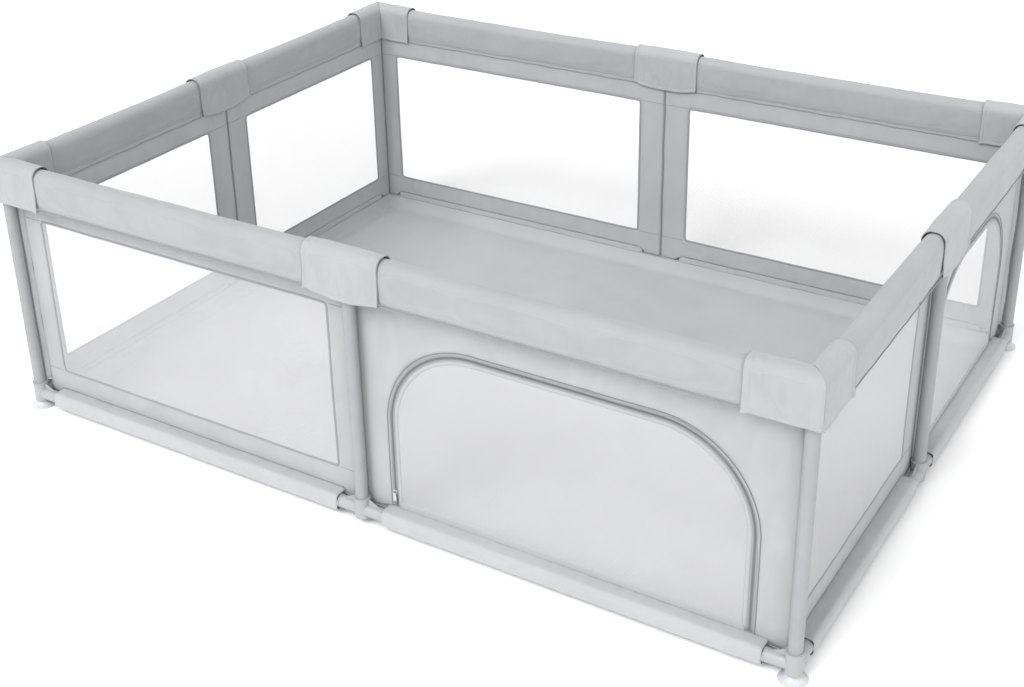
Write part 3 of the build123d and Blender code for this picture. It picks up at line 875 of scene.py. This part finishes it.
def door_wall(name, label):
    """The wall half round a door: cloth from the arch out to the post, corner and rail."""
    end = wall_end(name)
    inner = arch_path(name, -WALL_GAP, WALL_BOTTOM)
    across = inner[:, 0]
    middle = (across[0] + across[-1]) / 2
    # The arch point halfway round each bend, which goes with a top corner of the cloth
    bends = [
        int(np.argmin(np.abs(distance - ZIP_RADIUS * 0.293) + 9 * beyond))
        for distance, beyond in (
            (across - across[0], across > middle), (across[-1] - across, across < middle)
        )
    ]
    low = WALL_BOTTOM - HEM_DROP
    outer = np.vstack(
        [
            side_points((0.0002, low), (0.0002, WALL_TOP), bends[0]),
            side_points((0.0002, WALL_TOP), (end, WALL_TOP), bends[1] - bends[0]),
            np.linspace((end, WALL_TOP), (end, low), len(inner) - bends[1]),
        ]
    )
    rows = np.linspace(0, 1, 12)[:, None, None]
    ring = outer[None] * (1 - rows) + inner[None] * rows
    made = cloth(f"{label}_border", cloth_shape(name, ring[..., 0], ring[..., 1]), WALL_FABRIC)
    settle(made, replaces=(f"{name}_wall_border",))
    outward = SIDES[name][2]
    edge = arch_path(name, -0.0105, WALL_BOTTOM)
    for tag, face in (("outer", 1), ("inner", -1)):
        sweep(
                f"{label}_{tag}_piping", cloth_shape(name, edge[:, 0], edge[:, 1], face * 0.0010),
                outward, round_profile(0.0026, 0.0020, 8), SEAM_FABRIC,
            )
    for tag, inset in (("near", -0.0078), ("far", -0.0140)):
        edge = arch_path(name, inset, WALL_BOTTOM)
        row = cloth_shape(name, edge[:, 0], edge[:, 1], CLOTH / 2)
        stitches(f"{label}_{tag}_stitches", row, outward)


def vertical_seam(name, u, out, label, half_width=0.0022):
    """The thick seam that joins two wall halves, or two walls at a corner."""
    z = np.arange(sleeve_high.z - 0.010, rail_low.z + 0.004, 0.008)
    sway = 0.0007 * np.sin(z * 37 + u * 9) + 0.0004 * np.sin(z * 90)
    path = place(name, u + sway, z, out)
    profile = flat_profile(2 * half_width, 0.0034)
    sweep(label, path, -SIDES[name][2], profile, SEAM_FABRIC)


def corner_tab(label, first):
    """The fabric tab that ties the corner of the walls to its post."""
    root = WALL_INSET + 0.0008
    z = np.linspace(sleeve_high.z + 0.016, rail_low.z - 0.002, 60)
    reach = np.linspace(0, 1, 8)
    _, along, outward, half = SIDES[first]
    start = place(first, half - root, z, -root)
    ahead = (along + outward) / np.linalg.norm(along + outward)
    across = along - outward
    length = root * math.sqrt(2) - POST_RADIUS + 0.0006
    sway = 0.0012 * np.sin(z * 31)[:, None] * np.sin(math.pi * reach)[None, :]
    points = start[:, None] + ahead * length * reach[None, :, None] + across * sway[..., None]
    made = cloth(f"{label}_corner_tab", points, WALL_FABRIC)
    settle(made)
    groove = start + ahead * (length - 0.0022)
    for tag, face in (("near", 1), ("far", -1)):
        sweep(
            f"{label}_corner_tab_{tag}_seam", groove + across * face * 0.0007, across,
            round_profile(0.0030, 0.0022, 8), SEAM_FABRIC,
        )


def short_seams(name, u_from, u_to, label):
    """Seams across the border strips, level with the top and bottom of the windows."""
    u = np.linspace(u_from, u_to, 10)
    for level, z in (("top", window_high.z), ("bottom", window_low.z)):
        for tag, face in (("outer", 1), ("inner", -1)):
            path = cloth_shape(name, u, z + 0.0004 * np.sin(u * 200), face * 0.0007)
            sweep(
                f"{label}_{level}_{tag}", path, SIDES[name][2], round_profile(0.0018, 0.0010, 8),
                BINDING_FABRIC,
            )


def walls():
    for name, (_, _, _, half) in SIDES.items():
        if name in DOOR_SIDES:
            door_wall(name, f"{name}_door_wall")
        else:
            window_wall(name, 1, f"{name}_near_wall")
        window_wall(name, -1, f"{name}_far_wall")
        vertical_seam(name, 0.0, -WALL_INSET - 0.0012, f"{name}_middle_seam")
        short_seams(name, -WINDOW_MARGIN + 0.004, -0.004, f"{name}_middle_left_seam")
        end = wall_end(name)
        if name not in DOOR_SIDES:
            short_seams(name, 0.004, WINDOW_MARGIN - 0.004, f"{name}_middle_right_seam")
            short_seams(name, half - WINDOW_MARGIN + 0.004, end - 0.004, f"{name}_right_end_seam")
        short_seams(name, -end + 0.004, WINDOW_MARGIN - half - 0.004, f"{name}_left_end_seam")
    for label, first in CORNERS.items():
        u = SIDES[first][3] - WALL_INSET - 0.0016
        vertical_seam(first, u, -WALL_INSET - 0.0016, f"{label}_corner_seam", 0.0018)
        corner_tab(label, first)


# ---------------------------------------------------------------- bottom sleeves and mat


def sleeve_section():
    """The bottom sleeve's cross-section: rounded outside, straight where the wall joins it."""
    inner, outer = WALL_INSET + 0.001 - 0.002, -SLEEVE_OUT + 0.010
    corners = (
        (inner, sleeve_low.z + 0.002, 0.002, -90),
        (inner, sleeve_high.z - 0.002, 0.002, 0),
        (outer, sleeve_high.z - 0.010, 0.010, 90),
        (outer, sleeve_low.z + 0.010, 0.010, 180),
    )
    return even_path(rounded_outline(corners, 10), 0.003, closed=True)


def bottom_sleeve(name, low, high, label, seed):
    """A hemmed fabric sleeve round a bottom tube."""
    section = sleeve_section()
    ahead = along_path(section, closed=True)
    normals = np.stack([ahead[:, 1], -ahead[:, 0]], axis=1)
    u = np.linspace(low, high, int((high - low) / 0.005))
    from_end = np.minimum(u - low, high - u)
    flat = extrude(name, u[:, None], section)
    off = 0.0006 * ripple(flat, 0.11, seed) + 0.0004 * ripple(flat, 0.03, seed + 3)
    off = off - 0.0012 + (0.0005 * (from_end < HEM) - 0.0005 * bump(from_end, HEM, 0.002))[:, None]
    draw_in = 0.10 * (1 - smooth_step(from_end, 0.0, 0.010))[:, None]
    inward = (section[None, :, 0] + normals[None, :, 0] * off) * (1 - draw_in)
    z = section[None, :, 1] + normals[None, :, 1] * off
    z = z + (TUBE_Z - z) * draw_in
    made = cloth(label, place(name, u[:, None], z, -inward), SLEEVE_FABRIC, wrap_columns=True)
    settle(made, replaces=(f"{name}_bottom_sleeves",))
    row = place(name, u, sleeve_high.z - 0.0062, SLEEVE_OUT - 0.0012 - 0.0018)
    sewn = [stitches(f"{label}_stitches", row, SIDES[name][2])]


def shaded_hem_fold(name, low, high, label):
    """A fold where a wall meets its bottom sleeve, in the dark binding fabric as painted shade in the
    crease.
    """
    u = np.arange(low, high, 0.008)
    path = place(name, u, sleeve_high.z + 0.0004 + 0.0004 * np.sin(u * 55), -WALL_INSET + 0.0010)
    profile = round_profile(0.0030, 0.0022, 8)
    sweep(label, path, SIDES[name][2], profile, BINDING_FABRIC)


def bottom_edge():
    seed = 300
    for name in SIDES:
        for tag, low, high in halves(name, SLEEVE_END):
            seed += 1
            bottom_sleeve(name, low, high, f"{name}_{tag}_sleeve", seed)
            if not (name in DOOR_SIDES and tag == "near"):
                shaded_hem_fold(name, low, high, f"{name}_{tag}_shaded_hem_fold")


def floor_mat():
    """The fabric floor: it lies on the ground and turns up at its edge, to the sleeves."""
    half_x, half_y = edging_high.x, edging_high.y
    rise = edging_high.z - mat_low.z - 0.004
    turn_up = 0.030

    def line(half):
        inner = np.linspace(-half + 2 * turn_up, half - 2 * turn_up, int(half / 0.012))
        rim = np.array([0.0, 0.0012, 0.003, 0.006, 0.010, 0.015, 0.021, 0.028, 0.038, 0.048])
        return np.concatenate([-half + rim, inner, (half - rim)[::-1]])

    x, y = np.meshgrid(line(half_x), line(half_y))
    edge = np.minimum(half_x - np.abs(x), half_y - np.abs(y))
    flat = np.stack([x, y, np.zeros_like(x)], axis=2)
    lumps = 0.5 + 0.5 * ripple(flat, 0.55, 501) + 0.25 * ripple(flat, 0.16, 502)
    z = mat_low.z + 0.0008 + 0.0014 * np.maximum(lumps, 0)
    z = z + rise * (1 - np.clip(edge / turn_up, 0, 1)) ** 2.2
    z = z + 0.0016 * ripple(flat, 0.09, 503) * bump(edge, turn_up, 0.02)
    points = np.stack([x, y, np.maximum(z, mat_low.z + 0.0006)], axis=2)
    made = cloth("floor_mat_cloth", points, MAT_FABRIC, 0.0010)
    settle(made, replaces=("floor_mat", "floor_mat_edging"))
    for name, (_, _, outward, _) in SIDES.items():
        limit = (half_x if name in ("front", "rear") else half_y) - 0.004
        u = np.arange(-limit, limit, 0.01)
        seam_z = edging_high.z - 0.0045 + 0.0006 * np.sin(u * 40)
        sweep(
                f"{name}_mat_seam", place(name, u, seam_z, -WALL_INSET - 0.0022), -outward,
                round_profile(0.0030, 0.0020, 8), BINDING_FABRIC,
            )


# ---------------------------------------------------------------- doors and zips


def door_flap(name, seed):
    """The netting of a door, bound round its arch, with a hem that bends at the hinge."""
    door_low, door_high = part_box(f"{name}_door")
    body = f"{name}_door_flap"
    bottom = door_low.z
    origin, along, outward, _ = SIDES[name]
    outline = arch_path(name, DOOR_GAP, bottom, 0.008)
    left, right = outline[0, 0], outline[-1, 0]
    rows = np.linspace(0, 1, 26)[:, None]
    base = np.stack(
        [np.linspace(left, right, len(outline)), np.full(len(outline), bottom)], axis=1
    )
    grid = base[None] * (1 - rows[..., None]) + outline[None] * rows[..., None]
    flat = place(name, grid[..., 0], grid[..., 1], -WALL_INSET)
    calm = smooth_step(rows, 0, 0.1) * (1 - smooth_step(rows, 0.9, 1.0))
    waves = 0.0010 * calm * ripple(flat * (1, 1, 0.5), 0.2, seed)
    points = place(name, grid[..., 0], grid[..., 1], -WALL_INSET + waves)
    net = grid_object(f"{name}_door_netting", points, DOOR_NET)
    settle(net, body=body, replaces=(f"{name}_door",))
    band_inset = DOOR_GAP + DOOR_BINDING / 2
    edge = arch_path(name, band_inset, bottom)
    band = place(name, edge[:, 0], edge[:, 1], -WALL_INSET)
    profile = flat_profile(DOOR_BINDING, 0.0026)
    trims = [
        sweep(f"{name}_door_binding", band, outward, profile, WALL_FABRIC, body)
    ]
    for tag, shift in (("near", 0.0030), ("far", -0.0030)):
        line = arch_path(name, band_inset + shift, bottom)
        for word, face in (("outer", 1), ("inner", -1)):
            row = place(name, line[:, 0], line[:, 1], -WALL_INSET + face * 0.0014)
            thread = f"{name}_door_{tag}_{word}_stitches"
            trims.append(stitches(thread, row, outward * face, body))
    u, z = np.meshgrid(
        np.arange(left + 0.001, right, 0.01), np.linspace(sleeve_high.z - 0.0010, bottom + 0.008, 12)
    )
    hem = cloth(f"{name}_door_hem", place(name, u, z, -WALL_INSET), SLEEVE_FABRIC, 0.0036)
    hinge = origin - WALL_INSET * outward + along * ((left + right) / 2)
    start, end = hinge + (0, 0, bottom - 0.004), hinge + (0, 0, bottom + 0.006)
    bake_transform(hem, "root", body, start=start.tolist(), end=end.tolist())
    settle(hem)


TOOTH_FACES = [
    (0, 1, 2, 3), (7, 6, 5, 4), (0, 4, 5, 1), (1, 5, 6, 2), (2, 6, 7, 3), (3, 7, 4, 0),
]


def zip_row(name, inset, shift, label, body):
    """One row of coil teeth along the arch."""
    path = arch_path(name, inset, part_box(f"{name}_zip_chain")[0].z + 0.001, TOOTH_PITCH)
    points = place(name, path[:, 0], path[:, 1], -WALL_INSET)
    ahead = along_path(points)
    points = points + ahead * TOOTH_PITCH * shift
    x, y, z = TOOTH_PITCH * 0.36, 0.0017, 0.0010
    template = np.array(
        [
            (-x, -y, -z * 0.7), (x, -y, -z * 0.7), (x, y, -z), (-x, y, -z),
            (-x * 0.6, -y, z * 0.7), (x * 0.6, -y, z * 0.7), (x * 0.6, y, z), (-x * 0.6, y, z),
        ]
    )
    made = scatter(label, template, TOOTH_FACES, points, ahead, SIDES[name][2], ZIP_COIL)
    return settle(fix_normals(made), body=body)


def zip_tape(name, inset, label, body):
    """The woven tape beside one row of teeth."""
    path = arch_path(name, inset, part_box(f"{name}_zip_chain")[0].z)
    points = place(name, path[:, 0], path[:, 1], -WALL_INSET)
    profile = flat_profile(0.0056, 0.0010)
    sweep(label, points, SIDES[name][2], profile, TAPE_FABRIC, body)


def door_zip(name):
    """Both halves of a zip: one stays on the wall, the other goes with the door."""
    door = f"{name}_door_flap"
    outer = zip_row(name, -0.0014, 0.0, f"{name}_zip_outer_teeth", "root")
    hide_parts(f"{name}_zip_chain")
    zip_tape(name, -0.0046, f"{name}_zip_outer_tape", "root")
    zip_row(name, 0.0014, 0.5, f"{name}_zip_inner_teeth", door)
    zip_tape(name, 0.0046, f"{name}_zip_inner_tape", door)


def doors():
    for k, name in enumerate(DOOR_SIDES):
        door_flap(name, 400 + k)
        door_zip(name)


# ---------------------------------------------------------------- frame, stage and camera


def paint_frame():
    """Materials for the CAD nodes that show as they are."""
    paints = {
        "_post": POST_PAINT, "tubes": TUBE_PAINT, "connector": CONNECTOR_PLASTIC,
        "suction_feet": CUP_RUBBER, "zip_slider": ZIP_METAL, "zip_pull": ZIP_METAL,
    }
    for name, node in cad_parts.items():
        for part, material in paints.items():
            if part in name:
                node.data.materials.clear()
                node.data.materials.append(material)


def sun(name, toward, strength, spread):
    """A soft distant light; `toward` points from the pen to the light."""
    light = bpy.data.lights.new(name, "SUN")
    light.energy = strength
    light.angle = spread
    lamp = bpy.data.objects.new(name, light)
    bpy.context.scene.collection.objects.link(lamp)
    lamp.location = Vector(toward) * 6
    lamp.rotation_euler = Vector(toward).to_track_quat("Z", "Y").to_euler()


def studio():
    """A pale floor, a bright surround and soft light from the front left and front right."""
    floor = new_object(
        "studio_floor",
        [(-30, -30, 0), (30, -30, 0), (30, 30, 0), (-30, 30, 0)],
        [(0, 1, 2, 3)],
        hard("floor paint", (0.97, 0.97, 0.97), 0.9, grain=40.0, depth=0.0, amount=0.0),
    )
    world = bpy.data.worlds.new("studio")
    bpy.context.scene.world = world
    world.use_nodes = True
    tree = world.node_tree
    around = add_node(tree, "TexCoord").outputs["Generated"]
    height = add_node(tree, "SeparateXYZ", {"Vector": around}).outputs["Z"]
    glow = remap(tree, height, (0.05, 0.6), (1.0, 0.9))
    set_inputs(tree, tree.nodes["Background"], {"Color": (1, 1, 1, 1), "Strength": glow})
    sun("key", (-0.18, -0.68, 0.71), 0.66 * math.pi, 0.5)
    sun("fill", (0.66, -0.56, 0.50), 0.27 * math.pi, 0.8)


def camera():
    """The camera stands in front of the right corner and looks down into the pen."""
    lens = bpy.data.cameras.new("camera")
    lens.sensor_width = 36.0
    lens.lens = 52.17
    lens.shift_y = -0.0864
    view = bpy.data.objects.new("camera", lens)
    bpy.context.scene.collection.objects.link(view)
    eye = Vector((1.6603, -2.7733, 1.8622))
    ahead = Vector((-0.47712, 0.76753, -0.42807)).normalized()
    right = Vector((0.85323, 0.52128, -0.01634)).normalized()
    up = right.cross(ahead)
    turn = Matrix((right, up, -ahead)).transposed()
    view.matrix_world = Matrix.Translation(eye) @ turn.to_4x4()
    bpy.context.scene.camera = view
    bpy.context.scene.view_settings.view_transform = "Standard"


camera()
studio()
paint_frame()
rails()
walls()
bottom_edge()
floor_mat()
doors()
